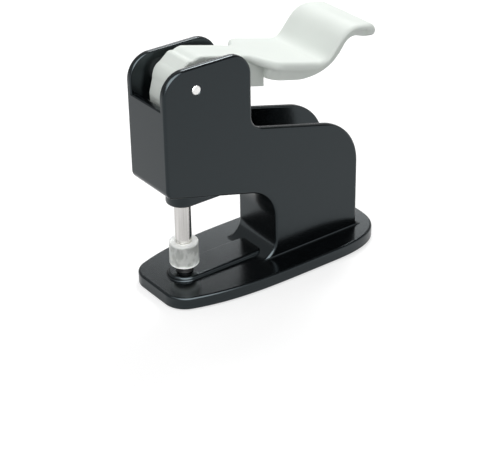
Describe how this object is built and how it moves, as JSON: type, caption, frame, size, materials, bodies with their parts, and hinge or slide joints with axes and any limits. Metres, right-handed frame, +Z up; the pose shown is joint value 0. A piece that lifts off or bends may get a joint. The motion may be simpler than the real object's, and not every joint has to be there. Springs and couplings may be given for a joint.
{
  "type": "hand press for snap buttons",
  "caption": "Table-top hand press with a cast C-frame, a cam lever with a curled paddle, and a sprung plunger that closes snap buttons between two dies.",
  "frame": {"origin": "on the plunger axis, on the face that the base rests on", "axes": "+X to the rear, where the paddle is; +Y to the far side, along the pivot pin; +Z up along the plunger"},
  "size_m": [0.141, 0.0636, 0.1361],
  "materials": {
    "black_casting": "satin black stove enamel",
    "grey_casting": "smooth light grey enamel",
    "bright_steel": "ground and polished",
    "plated_steel": "zinc plated",
    "spring_steel": "drawn wire",
    "bronze": "sintered bronze",
    "frosted_nylon": "frosted, slightly translucent",
    "black_nylon": "satin",
    "white_nylon": "satin",
    "black_rubber": "matt"
  },
  "bodies": {
    "press_frame": {"frame": "black_casting", "base_pad": "black_rubber", "lower_bush": "bronze", "upper_bush": "bronze", "spring_seat": "plated_steel", "return_spring": "spring_steel", "pivot_pin": "bright_steel", "near_spacer": "white_nylon", "far_spacer": "white_nylon", "lever_bumper": "black_rubber", "lower_die": "black_nylon", "lower_die_screw": "plated_steel"},
    "plunger_group": {"plunger": "bright_steel", "upper_die": "white_nylon", "die_lock_screw": "plated_steel", "sleeve_ring": "black_rubber", "die_sleeve": "frosted_nylon", "spring_cap": "plated_steel", "spring_clip": "spring_steel"},
    "lever_group": {"lever": "grey_casting", "near_bush": "bronze", "far_bush": "bronze"}
  },
  "joints": [
    {"name": "lever_pivot", "type": "hinge", "parent": "press_frame", "child": "lever_group", "pos_m": [0, 0, 0.1225], "axis": [0, -1, 0], "range_deg": [0, 60]},
    {"name": "plunger_slide", "type": "slide", "parent": "press_frame", "child": "plunger_group", "axis": [0, 0, 1], "range_m": [0, 0.012], "deforming": ["return_spring"]}
  ],
  "couplings": [
    {"joint": "plunger_slide", "follows": "lever_pivot", "m_per_rad": 0.011459}
  ]
}
